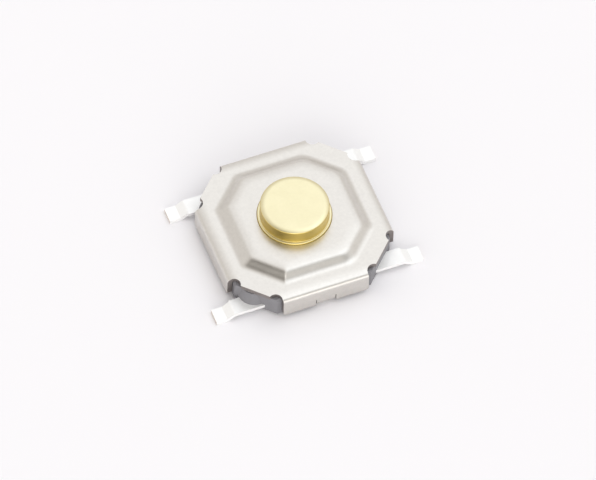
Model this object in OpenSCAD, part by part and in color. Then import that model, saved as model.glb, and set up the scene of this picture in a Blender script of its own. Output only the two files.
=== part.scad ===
// Surface-mount tactile push button switch.
// A stamped metal cover is crimped over a moulded base. A turned brass button
// stands through the cover and presses a snap dome onto two flat terminals.
// Millimetres. Z = 0 is the underside of the lead feet, with +Z up.
// The leads run along X, and the origin is the middle of the footprint.

/* [Cover] */
// Width across opposite walls of the cover
body_w = 5.2; // [4.9:0.05:5.8]
// Length of each 45 degree corner cut along a side
corner_cut = 1.23; // [1.15:0.01:1.4]
// Thickness of the cover's sheet metal
sheet_t = 0.15; // [0.1:0.01:0.17]
// Inner radius of the bends from flange to wall and from wall to tab
bend_r = 0.06; // [0.03:0.01:0.08]
// Height of the flat flange's top face above the board
flange_z = 0.88; // [0.85:0.01:1]
// Height of the walls' lower edge above the board
wall_foot_z = 0.14; // [0.1:0.01:0.2]
// Corner trimmed off each lower end of a wall
wall_trim = 0.1; // [0.02:0.01:0.2]
// Radius of the round relief notch at each end of a bend
relief_r = 0.21; // [0.15:0.01:0.24]
// Distance from a wall's outer face in to its relief notches' centres
relief_inset = 0.11; // [0.05:0.01:0.15]
// How far the relief notches' centres lie outside the corner cut, along X and Y together
relief_out = 0.06; // [0:0.01:0.1]

/* [Plateau] */
// Height of the raised plateau above the flange
plateau_rise = 0.25; // [0.2:0.01:0.3]
// Width of the plateau between its upper creases on opposite long sides
plateau_w = 3.44; // [3.35:0.01:3.5]
// Width of the plateau between its upper creases on opposite corner sides
plateau_diag_w = 3.77; // [3.68:0.01:3.86]
// Width of the sloped side, seen from above
plateau_slope_w = 0.32; // [0.27:0.01:0.36]
// Inner radius of the two creases along the slope
crease_r = 0.15; // [0.08:0.01:0.18]

/* [Crimp tabs] */
// Width of each tab that folds under the base
tab_w = 0.58; // [0.4:0.01:0.8]
// Width of the slit on each side of a tab
slit_w = 0.05; // [0.03:0.01:0.08]
// Length of each slit up from the wall's lower edge
slit_h = 0.26; // [0.2:0.01:0.32]
// Reach of a folded tab under the base, past its bend
tab_reach = 0.42; // [0.2:0.01:0.5]
// Height of a folded tab's lower face above the board
tab_z = 0.08; // [0.04:0.01:0.1]

/* [Button] */
// Height of the button's top face above the board
button_top_z = 1.65; // [1.5:0.01:1.9]
// Diameter of the button's head
head_d = 2.04; // [1.8:0.01:2.06]
// Radius of the head's rounded top edge
head_edge_r = 0.15; // [0.04:0.01:0.18]
// Diameter of the collar that slides in the cover's hole
collar_d = 2.2; // [2.18:0.01:2.4]
// Height of the collar's ledge above the plateau
ledge_h = 0.09; // [0.06:0.01:0.12]
// Radius of the ledge's rounded outer edge
ledge_edge_r = 0.04; // [0.02:0.01:0.05]
// Radius of the hollow corner between the head and the ledge
ledge_corner_r = 0.03; // [0.01:0.01:0.04]
// Diameter of the flange that holds the button in
stop_d = 3; // [2.7:0.01:3.05]
// Thickness of that flange
stop_t = 0.11; // [0.08:0.01:0.12]
// Diameter of the nub that presses the dome
nub_d = 1; // [0.7:0.01:1.4]
// Travel of the button
travel = 0.25; // [0.2:0.01:0.27]

/* [Base] */
// Height of the moulded base's underside above the board
base_foot_z = 0.06; // [0.02:0.01:0.07]
// Size of the bevel along the base's upper edges
base_bevel = 0.06; // [0.05:0.01:0.12]
// How far the cover's corner cuts overhang the base
corner_overhang = 0.057; // [0.03:0.001:0.08]
// Radius at the foot of the two round bosses that stand over lead roots
boss_r = 0.5; // [0.45:0.01:0.54]
// Radius at the top of those bosses
boss_top_r = 0.38; // [0.3:0.01:0.4]
// Distance from the cover's corner cut in to a boss's middle
boss_inset = 0.38; // [0.35:0.01:0.42]
// Distance from the middle of the corner cut along to a boss's middle
boss_shift = 0.19; // [0.1:0.01:0.22]
// Plastic between the strip's top and the floor of the contact well
floor_skin = 0.04; // [0.02:0.01:0.05]

/* [Dome and film] */
// Diameter of the snap dome
dome_d = 3.04; // [2.9:0.01:3.06]
// Thickness of the snap dome
dome_t = 0.05; // [0.04:0.01:0.06]
// Diameter of the insulating film
film_d = 2.7; // [2:0.01:2.8]
// Thickness of the insulating film
film_t = 0.05; // [0.03:0.01:0.06]

/* [Terminals] */
// Thickness of the terminal strip
strip_t = 0.12; // [0.1:0.01:0.13]
// Height of the strip's underside inside the base
strip_z = 0.15; // [0.13:0.01:0.16]
// Width of each lead
lead_w = 0.48; // [0.4:0.01:0.52]
// Extra width of a lead at its root, on its inner edge
lead_flare = 0.04; // [0:0.01:0.05]
// Distance from the middle of a corner cut in to the lead's middle line, along Y
lead_shift = 0.075; // [0.03:0.005:0.09]
// Reach of a lead past the wall's outer face
lead_reach = 0.64; // [0.5:0.01:0.8]
// Length of a lead's flat foot
foot_l = 0.34; // [0.2:0.01:0.36]
// Plan length of the lead's slope down to its foot
lead_slope_l = 0.22; // [0.18:0.01:0.26]
// Inner radius of the lead's two bends
lead_bend_r = 0.05; // [0.02:0.01:0.06]
// Width of the rail that joins two leads inside the base
rail_w = 0.36; // [0.25:0.01:0.4]
// Width of the arms that carry the contact pads
arm_w = 0.4; // [0.35:0.01:0.45]
// Height of the contact pads above the floor of the well
pad_rise = 0.02; // [0.01:0.01:0.03]
// Diameter of the middle contact pad
centre_pad_d = 0.64; // [0.5:0.01:0.8]
// Diameter of each outer contact pad
rim_pad_d = 0.3; // [0.2:0.01:0.32]
// Distance from the dome's rim in to the middle of an outer contact pad
rim_pad_inset = 0.09; // [0.05:0.01:0.12]
// Angle of the outer contact pads from the X axis
rim_pad_a = 27; // [22:1:32]

/* [Clearances] */
// Gap between the base and the cover's walls
wall_gap = 0.02; // [0.01:0.01:0.03]
// Gap between stacked faces, such as base and flange or button and plateau
face_gap = 0.01; // [0.01:0.005:0.02]
// Gap all round the button's collar in the cover's hole
collar_gap = 0.02; // [0.02:0.01:0.05]
// Gap between the dome's rim and the wall of its well
well_gap = 0.1; // [0.06:0.01:0.12]
// Gap between the film and the dome under it
film_gap = 0.005; // [0.003:0.001:0.01]
// Gap round a folded tab in its pocket
pocket_gap = 0.02; // [0.01:0.01:0.04]
// Plastic between a tab's pocket and the nearest rail
pocket_wall = 0.12; // [0.08:0.01:0.16]

/* [Hidden] */

// Facets of full circles
$fn = 96;
// Steps along the outside and inside of a shallow bend. A square bend has twice as many.
outer_steps = 6;
inner_steps = 3;
// Overlap between level stretches of one sheet
lap = 0.05;
// Overlap used only inside cuts, so that no cut ends on a face
cut = 0.2;
root2 = sqrt(2);

// Cover: planes of the sheet
half_w = body_w / 2;
wall_in = half_w - sheet_t;
bend_out_r = bend_r + sheet_t;
// Distance from the middle to the lines along which the walls and tabs bend
bend_line = half_w - bend_out_r;
flange_under_z = flange_z - sheet_t;
plateau_z = flange_z + plateau_rise;
plateau_under_z = plateau_z - sheet_t;
// The corner cut is the line |x| + |y| = corner_sum
corner_sum = body_w - corner_cut;
relief_y = half_w - relief_inset;
relief_x = corner_sum + relief_out - relief_y;
wall_half_l = relief_x - relief_r;

// Crimp tabs
tab_top_z = tab_z + sheet_t;
tab_end_y = bend_line - tab_reach;
pocket_end_y = tab_end_y - pocket_gap;

// Base
base_half = wall_in - wall_gap;
base_sum = corner_sum - corner_overhang * root2;
base_top_z = flange_under_z - face_gap;
strip_top_z = strip_z + strip_t;
floor_z = strip_top_z + floor_skin;
well_r = dome_d / 2 + well_gap;

// Contacts, dome and film
pad_z = floor_z + pad_rise;
dome_r = dome_d / 2;
dome_apex_z = pad_z + travel;
dome_in_r = (dome_r * dome_r + travel * travel) / (2 * travel);
dome_out_r = dome_in_r + dome_t;
dome_centre_z = dome_apex_z - dome_in_r;
film_in_r = dome_out_r + film_gap;
film_out_r = film_in_r + film_t;

// Button
stop_top_z = plateau_under_z - face_gap;
stop_z = stop_top_z - stop_t;
ledge_z = plateau_z + ledge_h;
nub_z = dome_centre_z + film_out_r + face_gap;

// Leads and rails
lead_y = half_w - corner_cut / 2 - lead_shift;
lead_in_y = lead_y - lead_w / 2 - lead_flare;
lead_out_y = lead_y + lead_w / 2;
lead_end = half_w + lead_reach;
foot_start = lead_end - foot_l;
slope_start = foot_start - lead_slope_l;
root_x = base_sum - lead_out_y;
rail_out_y = pocket_end_y - pocket_wall;
rail_in_y = rail_out_y - rail_w;
rim_pad_r = dome_r - rim_pad_inset;
rim_pad_x = rim_pad_r * cos(rim_pad_a);
rim_pad_y = rim_pad_r * sin(rim_pad_a);

// Points of an arc about centre c, with angles measured from +Z towards +X
function arc(c, r, from, to, steps) = [for (i = [0:steps])
    let (a = from + (to - from) * i / steps) c + r * [sin(a), cos(a)]];

// Octagon with its sides at half and its 45 degree sides on |x| + |y| = sum
function octagon(half, sum) = let (s = sum - half) [
    [half, s], [s, half], [-s, half], [-half, s],
    [-half, -s], [-s, -half], [s, -half], [half, -s]];

// Line of one face of a sheet of thickness t that runs level, bends down by drop within
// run, and runs level again. crease is the point where the upper faces would meet at the
// upper bend. depth is 0 for the upper face and t for the under face.
function step_line(crease, run, drop, in_r, t, depth) = let (
    a = atan(drop / run),
    upper = crease - (in_r + t) * [tan(a / 2), 1],
    lower = crease + [run + in_r * tan(a / 2), in_r - drop],
    upper_steps = depth == 0 ? outer_steps : inner_steps,
    lower_steps = depth == 0 ? inner_steps : outer_steps) concat(
    arc(upper, in_r + t - depth, 0, a, upper_steps),
    arc(lower, in_r + depth, 180 + a, 180, lower_steps));

// Everything under one face of the plateau, its slope and the flange. The plateau is an
// octagon with mitred corners. depth is 0 for the upper face.
module under_sheet(depth) {
    section = concat(
        [[-body_w, 0], [-body_w, plateau_z - depth]],
        step_line([0, plateau_z], plateau_slope_w, plateau_rise, crease_r, sheet_t, depth),
        [[body_w, flange_z - depth], [body_w, 0]]);
    intersection_for (a = [0:45:315])
        rotate(a) translate([(a % 90 == 0 ? plateau_w : plateau_diag_w) / 2, body_w, 0])
            rotate([90, 0, 0]) linear_extrude(2 * body_w) polygon(section);
}

// Top of the cover out to the bend lines, with the button's hole and the relief notches
module top_sheet() {
    difference() {
        intersection() {
            translate([0, 0, wall_foot_z]) linear_extrude(body_w)
                polygon(octagon(bend_line, corner_sum));
            under_sheet(0);
        }
        under_sheet(sheet_t);
        cylinder(h = plateau_z + cut, d = collar_d + 2 * collar_gap);
        for (x = [-1, 1]) for (y = [-1, 1]) {
            translate([x * relief_x, y * relief_y]) cylinder(h = plateau_z, r = relief_r);
            translate([x * relief_y, y * relief_x]) cylinder(h = plateau_z, r = relief_r);
        }
    }
}

// Bend and wall on +X, its lower corners trimmed
module wall() {
    corner = [bend_line, flange_z - bend_out_r];
    section = concat(
        [[corner[0] - lap, flange_z]],
        arc(corner, bend_out_r, 0, 90, 2 * outer_steps),
        [[half_w, wall_foot_z], [wall_in, wall_foot_z]],
        arc(corner, bend_r, 90, 0, 2 * inner_steps),
        [[corner[0] - lap, flange_under_z]]);
    intersection() {
        translate([0, wall_half_l, 0]) rotate([90, 0, 0])
            linear_extrude(2 * wall_half_l) polygon(section);
        rotate([90, 0, 90]) linear_extrude(body_w) polygon([
            [-wall_half_l, flange_z + cut],
            [-wall_half_l, wall_foot_z + wall_trim],
            [-wall_half_l + wall_trim, wall_foot_z],
            [wall_half_l - wall_trim, wall_foot_z],
            [wall_half_l, wall_foot_z + wall_trim],
            [wall_half_l, flange_z + cut]]);
    }
}

// Tab on +X: a stub of wall, its bend and the flat end under the base
module tab() {
    corner = [bend_line, tab_z + bend_out_r];
    stub_z = wall_foot_z + slit_h + lap;
    section = concat(
        [[wall_in, stub_z], [half_w, stub_z]],
        arc(corner, bend_out_r, 90, 180, 2 * outer_steps),
        [[tab_end_y, tab_z], [tab_end_y, tab_top_z]],
        arc(corner, bend_r, 180, 90, 2 * inner_steps));
    translate([0, tab_w / 2, 0]) rotate([90, 0, 0]) linear_extrude(tab_w) polygon(section);
}

// Opening in a wall for a tab and the slit on each side of it
module tab_opening() {
    opening_w = tab_w + 2 * slit_w;
    translate([wall_in - cut, -opening_w / 2, wall_foot_z - cut])
        cube([sheet_t + 2 * cut, opening_w, slit_h + cut]);
}

// Cover: one piece of stamped sheet
module cover() {
    color([0.78, 0.76, 0.73]) {
        top_sheet();
        for (a = [0, 180]) rotate(a) wall();
        for (a = [90, 270]) rotate(a) {
            difference() {
                wall();
                tab_opening();
            }
            tab();
        }
    }
}

// Button: one turned piece with head, collar, flange and nub
module button() {
    head_r = head_d / 2;
    edge_x = head_r - head_edge_r;
    edge_z = button_top_z - head_edge_r;
    collar_x = collar_d / 2 - ledge_edge_r;
    color([0.86, 0.76, 0.42]) rotate_extrude() {
        translate([0, nub_z]) square([nub_d / 2, edge_z - nub_z]);
        translate([0, stop_z]) square([stop_d / 2, stop_t]);
        translate([0, stop_z]) square([collar_d / 2, ledge_z - ledge_edge_r - stop_z]);
        translate([0, stop_z]) square([collar_x, ledge_z - stop_z]);
        translate([collar_x, ledge_z - ledge_edge_r]) circle(ledge_edge_r);
        translate([head_r, ledge_z]) difference() {
            translate([-ledge_corner_r, -ledge_corner_r]) square(2 * ledge_corner_r);
            translate([ledge_corner_r, ledge_corner_r]) circle(ledge_corner_r);
        }
        translate([0, stop_z]) square([head_r, edge_z - stop_z]);
        translate([0, stop_z]) square([edge_x, button_top_z - stop_z]);
        translate([edge_x, edge_z]) circle(head_edge_r);
    }
}

// Shell between two spheres about the dome's centre, cut to a disc above the rim
module spherical_disc(in_r, out_r, disc_r) {
    intersection() {
        translate([0, 0, dome_centre_z]) difference() {
            sphere(out_r);
            sphere(in_r);
        }
        translate([0, 0, pad_z]) cylinder(h = travel + out_r - in_r + cut, r = disc_r);
    }
}

// Dome: sprung steel disc that snaps through onto the middle pad
module dome() {
    color([0.8, 0.8, 0.78]) spherical_disc(dome_in_r, dome_out_r, dome_r);
}

// Film: thin insulating disc between dome and button
module film() {
    color([0.75, 0.5, 0.15, 0.8]) spherical_disc(film_in_r, film_out_r, film_d / 2);
}

// Lead on the +X side: its upper flat, slope and foot, seen from the side
module lead_profile() {
    crease = [slope_start, strip_top_z];
    upper_face = step_line(crease, lead_slope_l, strip_z, lead_bend_r, strip_t, 0);
    under_face = step_line(crease, lead_slope_l, strip_z, lead_bend_r, strip_t, strip_t);
    polygon(concat(
        [[0, strip_z], [0, strip_top_z]], upper_face, [[lead_end, strip_t], [lead_end, 0]],
        [for (i = [len(under_face) - 1:-1:0]) under_face[i]]));
}

// The two leads of one terminal with the rail that joins them, on the +Y side
module lead_strip() {
    foot_in_y = lead_in_y + lead_flare;
    for (m = [0, 1]) mirror([m, 0, 0]) intersection() {
        translate([0, half_w, 0]) rotate([90, 0, 0]) linear_extrude(body_w) lead_profile();
        linear_extrude(strip_top_z + cut) polygon([
            [0, rail_in_y], [rail_in_y, rail_in_y], [lead_in_y, lead_in_y],
            [slope_start, lead_in_y], [slope_start, foot_in_y], [lead_end, foot_in_y],
            [lead_end, lead_out_y], [root_x, lead_out_y],
            [root_x - lead_out_y + rail_out_y, rail_out_y], [0, rail_out_y]]);
    }
}

// Round contact pad, pressed up out of the strip
module pad(d) {
    translate([0, 0, strip_z]) cylinder(h = pad_z - strip_z, d = d);
}

// Terminal whose branch ends in the middle contact
module terminal_common_shape() {
    lead_strip();
    translate([-arm_w / 2, 0, strip_z]) cube([arm_w, rail_in_y + rail_w / 2, strip_t]);
    pad(centre_pad_d);
}

// Terminal whose two arms carry the four contacts under the dome's rim
module terminal_switched_shape() {
    mirror([0, 1, 0]) lead_strip();
    for (x = [-1, 1]) {
        translate([x * rim_pad_x - arm_w / 2, -rail_in_y - rail_w / 2, strip_z])
            cube([arm_w, rail_in_y + rail_w / 2 + rim_pad_y + rim_pad_d / 2, strip_t]);
        for (y = [-1, 1]) translate([x * rim_pad_x, y * rim_pad_y, 0]) pad(rim_pad_d);
    }
}

module terminal_common() {
    color([0.85, 0.85, 0.86]) terminal_common_shape();
}

module terminal_switched() {
    color([0.85, 0.85, 0.86]) terminal_switched_shape();
}

// Outer block of the base: an octagon with bevelled upper edges along the walls
module base_block() {
    bevel_z = base_top_z - base_bevel;
    bevel_x = base_half - base_bevel;
    intersection() {
        linear_extrude(base_top_z + cut) polygon(octagon(base_half, base_sum));
        intersection_for (a = [0, 90]) rotate(a) translate([0, half_w, 0]) rotate([90, 0, 0])
            linear_extrude(body_w) polygon([
                [-base_half, base_foot_z], [base_half, base_foot_z], [base_half, bevel_z],
                [bevel_x, base_top_z], [-bevel_x, base_top_z], [-base_half, bevel_z]]);
    }
}

// Tapered round boss of plastic over the root of the lead in the +X +Y corner
module lead_boss() {
    rotate(45) translate([corner_sum / root2 - boss_inset, -boss_shift, strip_top_z])
        cylinder(h = base_top_z - base_bevel - strip_top_z, r1 = boss_r, r2 = boss_top_r);
}

// Pocket on +X in the base's underside for a folded tab and its bend
module tab_pocket() {
    pocket_w = tab_w + 2 * pocket_gap;
    translate([pocket_end_y, -pocket_w / 2, 0])
        cube([base_half - pocket_end_y + cut, pocket_w, tab_top_z + bend_r]);
}

// Base: moulded round the two terminals, with the round well for the dome
module base() {
    color([0.2, 0.2, 0.22]) difference() {
        union() {
            base_block();
            for (a = [0, 180]) rotate(a) lead_boss();
        }
        translate([0, 0, floor_z]) cylinder(h = base_top_z, r = well_r);
        for (a = [90, 270]) rotate(a) tab_pocket();
        terminal_common_shape();
        terminal_switched_shape();
    }
}

base();
cover();
button();
film();
dome();
terminal_common();
terminal_switched();
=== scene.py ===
"""Surface-mount push button switch. Lengths are in millimetres in the sections below, and each
mesh is scaled to metres as its piece is made."""

import math

import bmesh
import bpy
from mathutils import Matrix, Vector


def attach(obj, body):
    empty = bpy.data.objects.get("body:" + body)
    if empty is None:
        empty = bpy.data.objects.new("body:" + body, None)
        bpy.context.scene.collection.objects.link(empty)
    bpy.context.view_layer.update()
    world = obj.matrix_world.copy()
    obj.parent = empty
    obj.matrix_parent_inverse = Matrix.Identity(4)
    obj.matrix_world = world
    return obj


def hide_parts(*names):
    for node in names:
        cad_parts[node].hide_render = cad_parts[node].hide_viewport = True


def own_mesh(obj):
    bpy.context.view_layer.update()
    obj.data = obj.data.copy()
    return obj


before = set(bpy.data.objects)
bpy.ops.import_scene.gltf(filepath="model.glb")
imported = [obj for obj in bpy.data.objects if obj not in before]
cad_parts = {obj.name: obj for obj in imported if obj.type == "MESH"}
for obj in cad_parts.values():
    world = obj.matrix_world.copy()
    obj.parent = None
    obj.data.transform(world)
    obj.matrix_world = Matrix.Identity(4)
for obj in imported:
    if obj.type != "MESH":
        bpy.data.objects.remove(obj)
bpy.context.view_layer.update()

# Camera
# The photograph looks down on the switch with a long lens, from its front and a little
# to the left. Turn, height and roll are the angles of that view.
MM_PER_METRE = 1000
VIEW_TURN, VIEW_HEIGHT, VIEW_ROLL = (math.radians(a) for a in (22.88, 55.45, 2.0))
VIEW_DISTANCE = 300
PIXELS_PER_MM = 34.16
PHOTO_WIDTH, PHOTO_HEIGHT = 596, 480
SENSOR_WIDTH = 36
# Where the origin lies in the photograph, in pixels from its upper left corner
ORIGIN_IN_PHOTO = (293.72, 236.06)
# Distances in metres between which the view is drawn
NEAR_LIMIT, FAR_LIMIT = 0.01, 10

level_right = Vector((math.cos(VIEW_TURN), -math.sin(VIEW_TURN), 0))
level_ahead = Vector((math.sin(VIEW_TURN), math.cos(VIEW_TURN), 0))
upright = Vector((0, 0, 1))
raised = level_ahead * math.sin(VIEW_HEIGHT) + upright * math.cos(VIEW_HEIGHT)
ahead = level_ahead * math.cos(VIEW_HEIGHT) - upright * math.sin(VIEW_HEIGHT)
view_right = level_right * math.cos(VIEW_ROLL) + raised * math.sin(VIEW_ROLL)
view_up = raised * math.cos(VIEW_ROLL) - level_right * math.sin(VIEW_ROLL)
picture_middle = (
    view_right * (PHOTO_WIDTH / 2 - ORIGIN_IN_PHOTO[0])
    + view_up * (ORIGIN_IN_PHOTO[1] - PHOTO_HEIGHT / 2)
) / PIXELS_PER_MM
view_place = (picture_middle - ahead * VIEW_DISTANCE) / MM_PER_METRE
view_axes = Matrix((view_right, view_up, -ahead)).transposed().to_4x4()

camera = bpy.data.objects.new("camera", bpy.data.cameras.new("camera"))
bpy.context.scene.collection.objects.link(camera)
camera.data.sensor_width = SENSOR_WIDTH
camera.data.lens = PIXELS_PER_MM * VIEW_DISTANCE * SENSOR_WIDTH / PHOTO_WIDTH
camera.data.clip_start = NEAR_LIMIT
camera.data.clip_end = FAR_LIMIT
camera.matrix_world = Matrix.Translation(view_place) @ view_axes
bpy.context.scene.camera = camera

# Studio light
# A white tent. Its brightest panel hangs over the switch, paler ones light it from behind and
# from low at the front, and two dark gaps in the cloth shade the slopes that face the front.

# Colour of the tent's cloth, what it gains from eye level to the top, and its least light
TENT_COLOUR, TENT_RISE, LEAST_LIGHT = (0.8, 0.775, 0.745), 0.05, 0.02
# Of each panel: its angle from the top of the tent, its turn from the right round by the back,
# how quickly it fades from its middle, and the light that it adds or takes
PANELS = {
    "overhead": (25, 337, 13, (0.9, 1.0, 1.1)),
    "behind": (35, 61, 10, (0.41, 0.45, 0.5)),
    "low_front": (71, 256, 9.4, (0.8, 0.8, 0.8)),
    "front_glow": (87, 247, 2.5, (1.56, 1.56, 1.54)),
    "gap_at_left": (44, 211, 11, (-1.5, -1.5, -1.5)),
    "gap_at_right": (49, 295, 13, (-1.2, -1.2, -1.2)),
}
WHITE = (1, 1, 1)


def add_node(tree, kind, **settings):
    """A shader node with its settings. in_0, in_1 and so on are its sockets by number, each
    given a value or joined to the socket that it follows."""
    node = tree.nodes.new(kind)
    for name, value in settings.items():
        if not name.startswith("in_"):
            setattr(node, name, value)
            continue
        socket = node.inputs[int(name.removeprefix("in_"))]
        if isinstance(value, bpy.types.NodeSocket):
            tree.links.new(value, socket)
        else:
            socket.default_value = value
    return node


def mix_colours(tree, share, first, second):
    """A blend from a first to a second colour as a share goes from 0 to 1."""
    colours = [c if isinstance(c, bpy.types.NodeSocket) else (*c, 1) for c in (first, second)]
    blend = add_node(tree, "ShaderNodeMix", data_type="RGBA",
                     in_0=share, in_6=colours[0], in_7=colours[1])
    return blend.outputs[2]


def add_panel(tree, direction, light, tilt, turn, fading, colour):
    """The tent's light with one round panel more."""
    tilt, turn = math.radians(tilt), math.radians(turn)
    middle = (math.sin(tilt) * math.cos(turn), math.sin(tilt) * math.sin(turn), math.cos(tilt))
    nearness = add_node(tree, "ShaderNodeVectorMath", operation="DOT_PRODUCT",
                        in_0=direction, in_1=middle)
    faded = add_node(tree, "ShaderNodeMath", operation="MULTIPLY_ADD",
                     in_0=nearness.outputs["Value"], in_1=fading, in_2=-fading)
    share = add_node(tree, "ShaderNodeMath", operation="EXPONENT", in_0=faded.outputs[0])
    added = add_node(tree, "ShaderNodeVectorMath", operation="MULTIPLY_ADD",
                     in_0=share.outputs[0], in_1=colour, in_2=light)
    return added.outputs[0]


world = bpy.data.worlds.new("studio_tent")
bpy.context.scene.world = world
world.use_nodes = True
tent = world.node_tree
direction = add_node(tent, "ShaderNodeTexCoord").outputs["Generated"]
height = add_node(tent, "ShaderNodeSeparateXYZ", in_0=direction).outputs["Z"]
light = add_node(tent, "ShaderNodeVectorMath", operation="MULTIPLY_ADD",
                 in_0=height, in_1=(TENT_RISE,) * 3, in_2=TENT_COLOUR).outputs[0]
for panel in PANELS.values():
    light = add_panel(tent, direction, light, *panel)
light = add_node(tent, "ShaderNodeVectorMath", operation="MAXIMUM",
                 in_0=light, in_1=(LEAST_LIGHT,) * 3).outputs[0]
seen_directly = add_node(tent, "ShaderNodeLightPath").outputs["Is Camera Ray"]
backdrop = mix_colours(tent, seen_directly, light, WHITE)
tent.links.new(backdrop, tent.nodes["Background"].inputs["Color"])

# Floor
# A sheet of white paper, which fills the view. It lies a hair below the switch's feet, so
# that no face of theirs is in its plane.
FLOOR_SIDE, FLOOR_DROP = 400, 0.002
PAPER_COLOUR, PAPER_ROUGHNESS, PAPER_SHINE = (0.93, 0.915, 0.94), 0.9, 0.2

half_side = FLOOR_SIDE / 2 / MM_PER_METRE
floor_corners = [(x * half_side, y * half_side, 0) for x, y in ((-1, -1), (1, -1), (1, 1), (-1, 1))]
floor_mesh = bpy.data.meshes.new("floor")
floor_mesh.from_pydata(floor_corners, [], [(0, 1, 2, 3)])
floor = bpy.data.objects.new("floor", floor_mesh)
floor.location.z = -FLOOR_DROP / MM_PER_METRE
bpy.context.scene.collection.objects.link(floor)
paper = bpy.data.materials.new("white_paper")
paper.use_nodes = True
paper_shader = paper.node_tree.nodes["Principled BSDF"]
paper_shader.inputs["Base Color"].default_value = (*PAPER_COLOUR, 1)
paper_shader.inputs["Roughness"].default_value = PAPER_ROUGHNESS
paper_shader.inputs["Specular IOR Level"].default_value = PAPER_SHINE
floor_mesh.materials.append(paper)

# Cover
# One piece of stamped nickel-silver sheet, 0.15 thick. Its raised octagon, four walls and
# two tabs are bent from one blank, and a round notch relieves each end of every bend. It
# is crimped over the base, and its sheared edges show the bare grain of the metal.
SHEET = 0.15
FLANGE_Z, PLATEAU_Z, WALL_FOOT_Z = 0.88, 1.13, 0.14
HALF_WIDTH = 2.6
# The button's hole, and its rim: distance out and drop of the rolled edge, and where it ends
HOLE_RADIUS = 1.103
RIM_EDGE, RIM_END = ((0, 0.012), (0.004, 0.003), (0.012, 0)), 0.02
# The octagon's upper crease: distance of its long sides and of its corner sides
LONG_SIDE, CORNER_SIDE = 1.76, 1.925
# The plateau's rim leans gently over SHOULDER_RUN, then the slope falls to the flange
SHOULDER_RUN, SHOULDER_LEAN, SLOPE_RUN = 0.2, 0.22, 0.25
# How far each soft bend reaches on both sides of its line
SHOULDER_SOFTNESS, UPPER_SOFTNESS, LOWER_SOFTNESS = 0.13, 0.07, 0.11
# Radii of the octagon's corners, seen from above, at the upper crease, from the right-hand
# corner nearest the back round by the back and left, and what they lose with distance outwards
CORNER_RADII = (0.5, 0.6, 0.35, 0.2, 0.3, 0.12, 0.6, 0.4)
CORNER_TIGHTENING, CORNER_RADIUS_LEAST = 0.3, 0.1
# A notch's middle is this far out and this far along its wall
NOTCH = (2.49, 1.54)
NOTCH_RADIUS = 0.21
# Distance out and distance along add up to this on a corner cut
CORNER_CUT = 3.97
# The flange droops from DROOP_START and passes into the bend at BEND_START. The rays out from
# the hole end at BEND_LINE, and the rows of the walls begin there.
DROOP_START, BEND_START, BEND_LINE = 2.25, 2.495, 2.39
DROOP_ANGLE = math.radians(19)
# Half widths of a wall, and of the part of it where its rows aren't drawn in beside the notches
WALL_HALF, STRAIGHT_HALF = NOTCH[1] - NOTCH_RADIUS, 1.05
WALL_CORNER_RADIUS = 0.1
# Height of a wall's upper row, below its bend
WALL_TOP_Z = 0.62
TAB_HALF, SLIT_HALF, SLIT_TOP_Z = 0.29, 0.315, 0.4
# A tab's height above the board, where it ends under the base, its bend and where that begins
TAB_Z, TAB_END, TAB_BEND = 0.08, 1.97, 0.21
TAB_TOP_Z = TAB_Z + TAB_BEND
# Steps of the sheet's mesh along its outline, then out from its hole and down its walls
TAB_STEPS, STRAIGHT_STEPS, WALL_END_STEPS, NOTCH_STEPS, CUT_STEPS = 5, 12, 6, 16, 10
RIM_STEPS, SLOPE_STEPS, FLANGE_STEPS, DROOP_STEPS, BEND_STEPS = 3, 36, 6, 4, 9
ABOVE_SLIT_STEPS, SLIT_STEPS, WALL_CORNER_STEPS, TAB_BEND_STEPS, TAB_END_STEPS = 4, 2, 6, 10, 4
# This many points of a notch lie out from the octagon's rounded corner. The others lie out
# from its corner side, down to this share of half its length.
NOTCH_ON_CORNER, SHARE_AT_CUT = 10, 0.7
EIGHTH, QUARTER = math.radians(45), math.radians(90)
# The sheared edges are rounded this much
SHEET_ROUNDING = 0.012
# Lengths closer than this are the same
SAME = 1e-6


def spread(first, last, steps):
    """Evenly spaced numbers from first to last."""
    return [first + (last - first) * i / steps for i in range(steps + 1)]


def soft_ramp(distance, softness):
    """0 before a line and rising evenly after it, with a bend that softness draws out."""
    bent = min(max(distance + softness, 0), 2 * softness)
    return bent**2 / 4 / softness + max(distance - softness, 0)


def slope_line():
    """Distance out from the upper crease and drop of the sheet's upper face, from the
    plateau's flat over its leaning rim and the slope to the flange's flat."""
    steepness = (PLATEAU_Z - FLANGE_Z - SHOULDER_RUN * SHOULDER_LEAN) / SLOPE_RUN
    line = []
    for out in spread(-SHOULDER_RUN - SHOULDER_SOFTNESS, SLOPE_RUN + LOWER_SOFTNESS, SLOPE_STEPS):
        drop = SHOULDER_LEAN * soft_ramp(out + SHOULDER_RUN, SHOULDER_SOFTNESS)
        drop += (steepness - SHOULDER_LEAN) * soft_ramp(out, UPPER_SOFTNESS)
        drop -= steepness * soft_ramp(out - SLOPE_RUN, LOWER_SOFTNESS)
        line.append((out, drop))
    return line


def octagon_point(out, corner_radius, along, fan):
    """A point of the octagon moved out from its upper crease, in its first half side and the
    corner after it. along runs from 0 to 1 on the side and fan from 0 to 45 degrees on the
    corner; from the corner on, along runs from 1 to 0 on the corner side."""
    side = LONG_SIDE + out - corner_radius
    corner_side = CORNER_SIDE + out - corner_radius
    corner_y = corner_side * math.sqrt(2) - side
    if fan == 0:
        return Vector((side + corner_radius, corner_y * along))
    centre = Vector((side, corner_y))
    if along == 1:
        return centre + corner_radius * Vector((math.cos(fan), math.sin(fan)))
    middle = Vector((1, 1)) * corner_side / math.sqrt(2)
    return middle.lerp(centre, along) + corner_radius * Vector((1, 1)) / math.sqrt(2)


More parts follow.
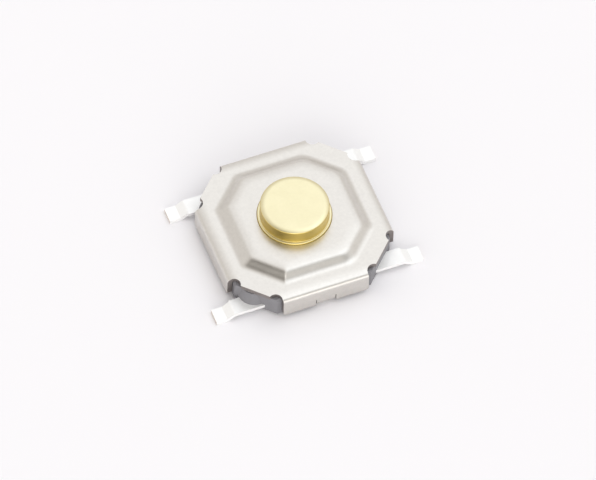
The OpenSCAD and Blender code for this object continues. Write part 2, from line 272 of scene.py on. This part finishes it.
def notch_outline():
    """Points of a notch's round edge, from the bend line of its wall to the corner cut."""
    rise = NOTCH[0] - BEND_LINE
    start = math.atan2(-math.sqrt(NOTCH_RADIUS**2 - rise**2), -rise) + 2 * math.pi
    half_mouth = math.acos((sum(NOTCH) - CORNER_CUT) / math.sqrt(2) / NOTCH_RADIUS)
    return [Vector(NOTCH) + NOTCH_RADIUS * Vector((math.cos(a), math.sin(a)))
            for a in spread(start, 5 * EIGHTH - half_mouth, NOTCH_STEPS)]


def eighth_of_rays():
    """The cover's rays from the middle of one wall to the middle of the next corner cut, each
    its place on the octagon and its end on the flange's outline, and the number of the ray
    that ends the wall."""
    tab = spread(0, TAB_HALF, TAB_STEPS)
    straight = spread(SLIT_HALF, STRAIGHT_HALF, STRAIGHT_STEPS)
    rays = [(y / STRAIGHT_HALF, 0, Vector((BEND_LINE, y))) for y in tab + straight]
    notch = notch_outline()
    wall_end = spread(STRAIGHT_HALF, notch[0].y, WALL_END_STEPS)[1:-1]
    last_of_wall = len(rays) + len(wall_end)
    cut_middle = Vector((1, 1)) * CORNER_CUT / 2
    cut = [notch[-1].lerp(cut_middle, t) for t in spread(0, 1, CUT_STEPS)[1:]]
    on_corner = [Vector((BEND_LINE, y)) for y in wall_end] + notch[:NOTCH_ON_CORNER]
    fans = spread(0, EIGHTH, len(on_corner))[1:]
    rays += [(1, fan, point) for fan, point in zip(fans, on_corner)]
    beside = notch[NOTCH_ON_CORNER:]
    alongs = spread(1, SHARE_AT_CUT, len(beside))[1:] + spread(SHARE_AT_CUT, 0, CUT_STEPS)[1:]
    rays += [(along, EIGHTH, point) for along, point in zip(alongs, beside + cut)]
    return rays, last_of_wall


def droop(distance):
    """How far the flange has sunk at a distance out towards a wall."""
    past = max(0, distance - DROOP_START)
    return past**2 * math.tan(DROOP_ANGLE) / 2 / (BEND_START - DROOP_START)


def ray_points(corner_radius, along, fan, end):
    """The points of one ray on the sheet's upper face, from the hole to the outline."""
    plan = []
    for out, drop in slope_line():
        radius = max(corner_radius - CORNER_TIGHTENING * out, CORNER_RADIUS_LEAST)
        plan.append((octagon_point(out, radius, along, fan), drop))
    start, foot = plan[0][0], plan[-1][0]
    hole = start.normalized()
    points = [Vector((*(hole * (HOLE_RADIUS + out)), PLATEAU_Z - drop)) for out, drop in RIM_EDGE]
    for t in spread(0, 1, RIM_STEPS)[1:-1]:
        flat = (hole * (HOLE_RADIUS + RIM_END)).lerp(start, t)
        points.append(Vector((*flat, PLATEAU_Z)))
    for place, drop in plan:
        points.append(Vector((*place, PLATEAU_Z - drop)))
    for t in spread(0, 1, FLANGE_STEPS)[1:]:
        points.append(Vector((*foot.lerp(end, t), FLANGE_Z)))
    for point in points:
        point.z -= droop(max(abs(point.x), abs(point.y)))
    return points


def turned_quarter(point, quarter):
    """point turned about the upright axis by a number of quarter turns."""
    return Matrix.Rotation(QUARTER * quarter, 3, "Z") @ point


def cover_rays():
    """All the cover's rays, each a list of points out from the hole, from the middle of the
    right wall round by the back, and the number of the ray that ends the first half wall."""
    eighth, last_of_wall = eighth_of_rays()
    rays = []
    for quarter in range(4):
        first, second = CORNER_RADII[2 * quarter:2 * quarter + 2]
        for ray in eighth[:-1]:
            rays.append([turned_quarter(p, quarter) for p in ray_points(first, *ray)])
        for ray in reversed(eighth[1:]):
            rays.append([turned_quarter(Vector((p.y, p.x, p.z)), quarter)
                         for p in ray_points(second, *ray)])
    return rays, last_of_wall


def bend_points():
    """Distance out and height down the bend, from the flange's bend line to the wall."""
    radius = (HALF_WIDTH - BEND_START) / (1 - math.sin(DROOP_ANGLE))
    points = [(x, FLANGE_Z - droop(x)) for x in spread(BEND_LINE, BEND_START, DROOP_STEPS)]
    middle_x = HALF_WIDTH - radius
    middle_z = points[-1][1] - radius * math.cos(DROOP_ANGLE)
    return points + [(middle_x + radius * math.sin(a), middle_z + radius * math.cos(a))
                     for a in spread(DROOP_ANGLE, QUARTER, BEND_STEPS)[1:]]


def wall_rows():
    """Distance out, height and half width of the wall's rows, below the flange's bend line."""
    rows = []
    run = 0
    bend = bend_points()
    for before, place in zip(bend, bend[1:]):
        run += math.dist(before, place)
        rise = max(0, NOTCH[0] - BEND_LINE - run)
        rows.append((*place, NOTCH[1] - math.sqrt(NOTCH_RADIUS**2 - rise**2)))
    above_slits = spread(WALL_TOP_Z, SLIT_TOP_Z, ABOVE_SLIT_STEPS)
    beside_slits = spread(SLIT_TOP_Z, TAB_TOP_Z, SLIT_STEPS)[1:]
    rows += [(HALF_WIDTH, z, WALL_HALF) for z in above_slits + beside_slits]
    for a in spread(0, QUARTER, WALL_CORNER_STEPS):
        rows.append((HALF_WIDTH, WALL_FOOT_Z + WALL_CORNER_RADIUS * (1 - math.sin(a)),
                     WALL_HALF - WALL_CORNER_RADIUS * (1 - math.cos(a))))
    return rows


def tab_rows():
    """Distance out and height of the rows of a tab, from its bend to its end under the base."""
    rows = [(HALF_WIDTH - TAB_BEND * (1 - math.cos(a)), TAB_Z + TAB_BEND * (1 - math.sin(a)))
            for a in spread(0, QUARTER, TAB_BEND_STEPS)[1:]]
    return rows + [(x, TAB_Z) for x in spread(HALF_WIDTH - TAB_BEND, TAB_END, TAB_END_STEPS)[1:]]


def opening_start(z):
    """Where the opening in a wall with a tab starts at a height: nowhere above the slits, at
    the tab's side along them, and at the wall's middle below the tab's bend."""
    if z > SLIT_TOP_Z - SAME:
        return SLIT_HALF
    return TAB_HALF if z > TAB_TOP_Z - SAME else 0


def add_row(points, faces, above, quarter, out, z, across, open_from=SLIT_HALF):
    """A row of a wall or a tab and its faces up to the row above, but for the faces between
    open_from and the outer side of the slits."""
    row = range(len(points), len(points) + len(across))
    points += [turned_quarter(Vector((out, y, z)), quarter) for y in across]
    for k in range(len(row) - 1):
        middle = abs(across[k] + across[k + 1]) / 2
        if not open_from <= middle < SLIT_HALF:
            faces.append((above[k], row[k], row[k + 1], above[k + 1]))
    return row


def add_wall(points, faces, above, quarter):
    """One wall below the flange's outline, with its tab if it has one."""
    across = [turned_quarter(points[i], -quarter).y for i in above]
    has_tab = quarter % 2 == 1
    for out, z, half in wall_rows():
        drawn_in = (half - STRAIGHT_HALF) / (across[-1] - STRAIGHT_HALF)
        row_across = [y if abs(y) < STRAIGHT_HALF + SAME
                      else math.copysign(STRAIGHT_HALF + (abs(y) - STRAIGHT_HALF) * drawn_in, y)
                      for y in across]
        open_from = opening_start(z) if has_tab else SLIT_HALF
        above = add_row(points, faces, above, quarter, out, z, row_across, open_from)
        if abs(z - TAB_TOP_Z) < SAME:
            tab_root = above
    if has_tab:
        tab_part = [k for k, y in enumerate(across) if abs(y) < TAB_HALF + SAME]
        above = [tab_root[k] for k in tab_part]
        for out, z in tab_rows():
            above = add_row(points, faces, above, quarter, out, z, [across[k] for k in tab_part])


def cover_sheet_mesh():
    """Points and faces of the sheet's upper face, with normals outwards."""
    rays, last_of_wall = cover_rays()
    rings = len(rays[0])
    points = [point for ray in rays for point in ray]
    faces = []
    for i in range(len(rays)):
        j = (i + 1) % len(rays)
        for k in range(rings - 1):
            faces.append((i * rings + k, i * rings + k + 1, j * rings + k + 1, j * rings + k))
    for quarter in range(4):
        middle = quarter * len(rays) // 4
        outline = [i % len(rays) * rings + rings - 1
                   for i in range(middle - last_of_wall, middle + last_of_wall + 1)]
        add_wall(points, faces, outline, quarter)
    return points, faces


def finish_piece(name, mesh, materials, thicken=0.0, round_edges=0.0):
    """A piece from a mesh in millimetres: a sheet thickened inwards if it has a thickness, its
    sharp edges rounded, and its mesh scaled to metres."""
    sharp_angle, rounding_steps = math.radians(40), 2
    flat_weight = 60
    mesh.polygons.foreach_set("use_smooth", [True] * len(mesh.polygons))
    for material in materials:
        mesh.materials.append(material)
    shape = bpy.data.objects.new(name + "_blank", mesh)
    bpy.context.scene.collection.objects.link(shape)
    if thicken:
        sheet = shape.modifiers.new("thickness", "SOLIDIFY")
        sheet.thickness = thicken
        sheet.offset = -1
        sheet.use_even_offset = True
        sheet.use_quality_normals = True
        sheet.material_offset_rim = 1
    if round_edges:
        edges = shape.modifiers.new("rounded_edges", "BEVEL")
        edges.width = round_edges
        edges.segments = rounding_steps
        edges.limit_method = "ANGLE"
        edges.angle_limit = sharp_angle
    flats = shape.modifiers.new("level_flats", "WEIGHTED_NORMAL")
    flats.weight = flat_weight
    bpy.context.view_layer.update()
    ready = bpy.data.meshes.new_from_object(
        shape.evaluated_get(bpy.context.evaluated_depsgraph_get()))
    bpy.data.objects.remove(shape)
    ready.transform(Matrix.Scale(1 / MM_PER_METRE, 4))
    ready.name = name
    piece = bpy.data.objects.new(name, ready)
    bpy.context.scene.collection.objects.link(piece)
    return piece


def make_piece(name, points, faces, materials, thicken=0.0, round_edges=0.0):
    """A piece from points in millimetres, without those that no face uses."""
    mesh = bpy.data.meshes.new(name)
    mesh.from_pydata([tuple(p) for p in points], [], faces)
    used = bmesh.new()
    used.from_mesh(mesh)
    bmesh.ops.delete(used, geom=[v for v in used.verts if not v.link_faces], context="VERTS")
    used.to_mesh(mesh)
    used.free()
    return finish_piece(name, mesh, materials, thicken, round_edges)


def start_material(name):
    """A new material, with its shader and the place on the piece in millimetres."""
    material = bpy.data.materials.new(name)
    material.use_nodes = True
    tree = material.node_tree
    place = add_node(tree, "ShaderNodeTexCoord").outputs["Object"]
    in_mm = add_node(tree, "ShaderNodeMapping", in_0=place, in_3=(MM_PER_METRE,) * 3)
    return material, tree.nodes["Principled BSDF"], in_mm.outputs[0]


def noise(tree, place, cells, detail, harshness):
    """Noise from 0 to 1 with a number of cells to a millimetre."""
    return add_node(tree, "ShaderNodeTexNoise", in_0=place,
                    in_2=cells, in_3=detail, in_4=harshness).outputs[0]


def ranged(tree, value, old=(0, 1), new=(0, 1)):
    """A value brought from an old range to a new one, and held inside it."""
    return add_node(tree, "ShaderNodeMapRange", in_0=value, in_1=old[0], in_2=old[1],
                    in_3=new[0], in_4=new[1]).outputs[0]


def two_shades(colour, difference):
    """A darker and a paler shade of a colour."""
    return [[min(1, c * share) for c in colour] for share in (1 - difference, 1 + difference)]


def join_finish(tree, shader, colour, roughness, relief, strength, depth):
    """Joins a shader to its colour, its roughness, and a relief of a depth in millimetres."""
    tree.links.new(colour, shader.inputs["Base Color"])
    tree.links.new(roughness, shader.inputs["Roughness"])
    bump = add_node(tree, "ShaderNodeBump", in_0=strength, in_1=depth / MM_PER_METRE)
    tree.links.new(relief, bump.inputs["Height"])
    tree.links.new(bump.outputs[0], shader.inputs["Normal"])


def metal(name, colour, roughness, mottle=0.03, grain=0.4, stretch=(1, 1, 1), uneven=0.06,
          side_shade_colour=None, metallic=1.0):
    """Metal with a faint mottle in its colour, cloudy roughness and a fine grain. stretch
    draws the grain out along an axis, as rolling or turning does, side_shade_colour is painted on
    upright faces and the paler colour on level ones, partly the duller turned sides and partly a
    painted highlight on the tops and painted shade on the sides, and matt plating is less metallic."""
    noise_middle = (0.3, 0.7)
    grain_depth = 0.002
    material, shader, place = start_material(name)
    tree = material.node_tree
    shader.inputs["Metallic"].default_value = metallic
    drawn = add_node(tree, "ShaderNodeMapping", in_0=place, in_3=stretch).outputs[0]
    clouds = noise(tree, place, cells=2.2, detail=3, harshness=0.55)
    specks = noise(tree, place, cells=11, detail=3, harshness=0.6)
    grains = noise(tree, drawn, cells=34, detail=4, harshness=0.6)
    tone = ranged(tree, specks, old=noise_middle)
    coloured = mix_colours(tree, tone, *two_shades(colour, mottle))
    # Painted light: the colour is blended by which way a face looks, paler on level faces as a
    # painted highlight and darker on upright ones as painted shade
    if side_shade_colour:
        normal = add_node(tree, "ShaderNodeTexCoord").outputs["Normal"]
        facing_up = add_node(tree, "ShaderNodeSeparateXYZ", in_0=normal).outputs["Z"]
        level = ranged(tree, facing_up, old=(0.5, 1))
        coloured = mix_colours(tree, level, side_shade_colour, coloured)
    cloudy = ranged(tree, clouds, old=noise_middle, new=(roughness - uneven, roughness + uneven))
    join_finish(tree, shader, coloured, cloudy, grains, grain, grain_depth)
    return material


satin_sheet = metal("satin_nickel_silver_sheet", colour=(0.698, 0.672, 0.635), roughness=0.33,
                    mottle=0.035, grain=0.03, uneven=0.015)
sheared_edge = metal("sheared_sheet_edge", colour=(0.30, 0.27, 0.26), roughness=0.5,
                     grain=0.5, stretch=(1, 1, 0.2))
cover = make_piece("crimped_cover", *cover_sheet_mesh(), [satin_sheet, sheared_edge],
                   thicken=SHEET, round_edges=SHEET_ROUNDING)
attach(cover, "housing")
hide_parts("cover")

# Base
# Dark moulded plastic round the two contact strips, with a well for the dome, two tapered
# bosses over lead roots and a pocket for each of the cover's tabs.
BASE_ROUNDING = 0.025


def solid_mesh(node):
    """The mesh of one of the switch's solids in millimetres, its flat faces made whole again
    so that their edges can be rounded."""
    meeting_distance, flat_angle = 0.0005, math.radians(1)
    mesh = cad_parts[node].data.copy()
    mesh.materials.clear()
    mesh.transform(Matrix.Scale(MM_PER_METRE, 4))
    shape = bmesh.new()
    shape.from_mesh(mesh)
    bmesh.ops.remove_doubles(shape, verts=shape.verts, dist=meeting_distance)
    bmesh.ops.dissolve_limit(shape, angle_limit=flat_angle, verts=shape.verts, edges=shape.edges)
    shape.to_mesh(mesh)
    shape.free()
    return mesh


def plastic(name, colour, roughness):
    """Moulded plastic with a fine spark-eroded texture and a faint cloudiness."""
    cloudiness, uneven = 0.12, 0.08
    texture_strength, texture_depth = 0.35, 0.003
    material, shader, place = start_material(name)
    tree = material.node_tree
    clouds = noise(tree, place, cells=3, detail=3, harshness=0.5)
    texture = noise(tree, place, cells=45, detail=3, harshness=0.6)
    coloured = mix_colours(tree, clouds, *two_shades(colour, cloudiness))
    dull = ranged(tree, texture, new=(roughness - uneven, roughness + uneven))
    join_finish(tree, shader, coloured, dull, texture, texture_strength, texture_depth)
    return material


slate_plastic = plastic("slate_moulded_plastic", colour=(0.22, 0.215, 0.23), roughness=0.5)
base = finish_piece("moulded_base", solid_mesh("base"), [slate_plastic],
                    round_edges=BASE_ROUNDING)
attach(base, "housing")
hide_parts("base")

# Terminals
# Two strips of tinned brass, stamped and moulded into the base. Each has two leads, cut
# off bare at their ends, and carries its contacts in the well.
LEAD_END = 3.235
tinned = metal("tinned_strip", colour=(0.96, 0.958, 0.95), roughness=0.42,
               mottle=0.01, grain=0.06, metallic=0.5)
bare_brass = metal("bare_cut_brass", colour=(0.76, 0.7, 0.64), roughness=0.5,
                   grain=0.5, stretch=(1, 1, 0.2))
for node in ("terminal_common", "terminal_switched"):
    strip = finish_piece("tinned_" + node, solid_mesh(node), [tinned, bare_brass],
                         round_edges=SHEET_ROUNDING)
    for face in strip.data.polygons:
        face.material_index = int(abs(face.center.x) * MM_PER_METRE > LEAD_END)
    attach(strip, "housing")
    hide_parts(node)

# Button
# One piece of turned brass: a head with a low crown, a collar whose ledge shows round it,
# a flange that keeps it under the cover and a nub that presses the dome.
HEAD_TOP, HEAD_RADIUS = 1.64, 1.02
# The head's top falls away over a wide curve up to CROWN_ANGLE, then turns down sharply
CROWN_CURVE, CROWN_ANGLE, HEAD_EDGE = 0.3, math.radians(28), 0.04
# Radii of the rings on its flat middle
TOP_RINGS = (0.6, 0.4, 0.2, 0)
# The ledge on the collar, its outer edge and the soft corner at the head's foot
LEDGE_Z, COLLAR_RADIUS = 1.175, 1.1
LEDGE_EDGE, LEDGE_CORNER = 0.035, 0.015
STOP_Z, STOP_TOP_Z, STOP_RADIUS, STOP_EDGE = 0.86, 0.97, 1.5, 0.02
NUB_Z, NUB_RADIUS, NUB_EDGE = 0.695, 0.5, 0.03
EDGE_STEPS, CORNER_STEPS, CROWN_STEPS, BUTTON_SIDES = 6, 5, 10, 144


def lathe(line, steps):
    """Points and faces of a closed line of radius and height turned about the upright axis.
    A radius of 0 is one point on the axis."""
    points, rows = [], []
    for r, z in line:
        if r == 0:
            rows.append([len(points)] * steps)
            points.append((0, 0, z))
            continue
        rows.append(range(len(points), len(points) + steps))
        for i in range(steps):
            a = 2 * math.pi * i / steps
            points.append((r * math.cos(a), r * math.sin(a), z))
    faces = []
    for low, high in zip(rows, rows[1:]):
        for i in range(steps):
            j = (i + 1) % steps
            face = tuple(dict.fromkeys((low[i], low[j], high[j], high[i])))
            if len(face) > 2:
                faces.append(face)
    return points, faces


# The line from the nub's face up and out to the stop, then in to the collar
button_line = [(0, NUB_Z), (NUB_RADIUS - NUB_EDGE, NUB_Z), (NUB_RADIUS, NUB_Z + NUB_EDGE),
               (NUB_RADIUS, STOP_Z),
               (STOP_RADIUS - STOP_EDGE, STOP_Z), (STOP_RADIUS, STOP_Z + STOP_EDGE),
               (STOP_RADIUS, STOP_TOP_Z - STOP_EDGE), (STOP_RADIUS - STOP_EDGE, STOP_TOP_Z),
               (COLLAR_RADIUS, STOP_TOP_Z)]
# Over the ledge's edge, and in to the corner at the head's foot
button_line += [(COLLAR_RADIUS - LEDGE_EDGE * (1 - math.sin(a)),
                 LEDGE_Z - LEDGE_EDGE * (1 - math.cos(a)))
                for a in spread(QUARTER, 0, EDGE_STEPS)]
button_line += [(HEAD_RADIUS + LEDGE_CORNER * (1 - math.sin(a)),
                 LEDGE_Z + LEDGE_CORNER * (1 - math.cos(a)))
                for a in spread(0, QUARTER, CORNER_STEPS)]
# Round the head's edge, up the crown's curve and in over its flat middle
crown_foot_r = HEAD_RADIUS - HEAD_EDGE * (1 - math.sin(CROWN_ANGLE))
crown_foot_z = HEAD_TOP - CROWN_CURVE * (1 - math.cos(CROWN_ANGLE))
button_line += [(HEAD_RADIUS - HEAD_EDGE * (1 - math.sin(a)),
                 crown_foot_z - HEAD_EDGE * (math.cos(CROWN_ANGLE) - math.cos(a)))
                for a in spread(QUARTER, CROWN_ANGLE, EDGE_STEPS)]
button_line += [(crown_foot_r - CROWN_CURVE * (math.sin(CROWN_ANGLE) - math.sin(a)),
                 HEAD_TOP - CROWN_CURVE * (1 - math.cos(a)))
                for a in spread(CROWN_ANGLE, 0, CROWN_STEPS)[1:]]
button_line += [(r, HEAD_TOP) for r in TOP_RINGS]
# The head's pale top and darker, deeper sides are partly the duller turned finish of the sides and
# partly a painted highlight on the top and painted shade on the sides
turned_brass = metal("turned_brass", colour=(0.8, 0.74, 0.5), roughness=0.34,
                     mottle=0.015, grain=0.05, side_shade_colour=(0.66, 0.5, 0.14))
button = make_piece("brass_button", *lathe(button_line, BUTTON_SIDES), [turned_brass])
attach(button, "button")
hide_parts("button")

# Dome and film
# A sprung steel disc bows over the middle contact, and an insulating film lies on it. In the
# switch both flatten as the button goes down; here they are drawn at rest.
DOME_RIM_Z, DOME_TOP_Z, DOME_RADIUS, FILM_RADIUS = 0.33, 0.58, 1.52, 1.35
DISC_THICKNESS, FILM_GAP = 0.05, 0.005
DISC_RINGS, DISC_SIDES = 20, 96
# Radius and height of the middle of the sphere that the dome's inside is part of
dome_rise = DOME_TOP_Z - DOME_RIM_Z
dome_inside = (DOME_RADIUS**2 + dome_rise**2) / 2 / dome_rise
dome_centre_z = DOME_TOP_Z - dome_inside


def bowed_disc(name, inside, radius, material):
    """A disc cut from a shell about the dome's centre."""
    radii = spread(0, radius, DISC_RINGS)
    lower = [(r, dome_centre_z + math.sqrt(inside**2 - r**2)) for r in radii]
    upper = [(r, dome_centre_z + math.sqrt((inside + DISC_THICKNESS)**2 - r**2)) for r in radii]
    disc = make_piece(name, *lathe(lower + upper[::-1], DISC_SIDES), [material])
    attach(disc, "housing")
    return disc


spring_steel = metal("spring_steel", colour=(0.72, 0.71, 0.69), roughness=0.22)
dome = bowed_disc("snap_dome", dome_inside, DOME_RADIUS, spring_steel)
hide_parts("dome")
amber_film = plastic("amber_film", colour=(0.62, 0.34, 0.06), roughness=0.25)
film = bowed_disc("insulating_film", dome_inside + DISC_THICKNESS + FILM_GAP, FILM_RADIUS,
                  amber_film)
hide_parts("film")
for disc in (dome, film):
    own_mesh(disc)

# Picture settings
bpy.context.scene.view_settings.view_transform = "Standard"
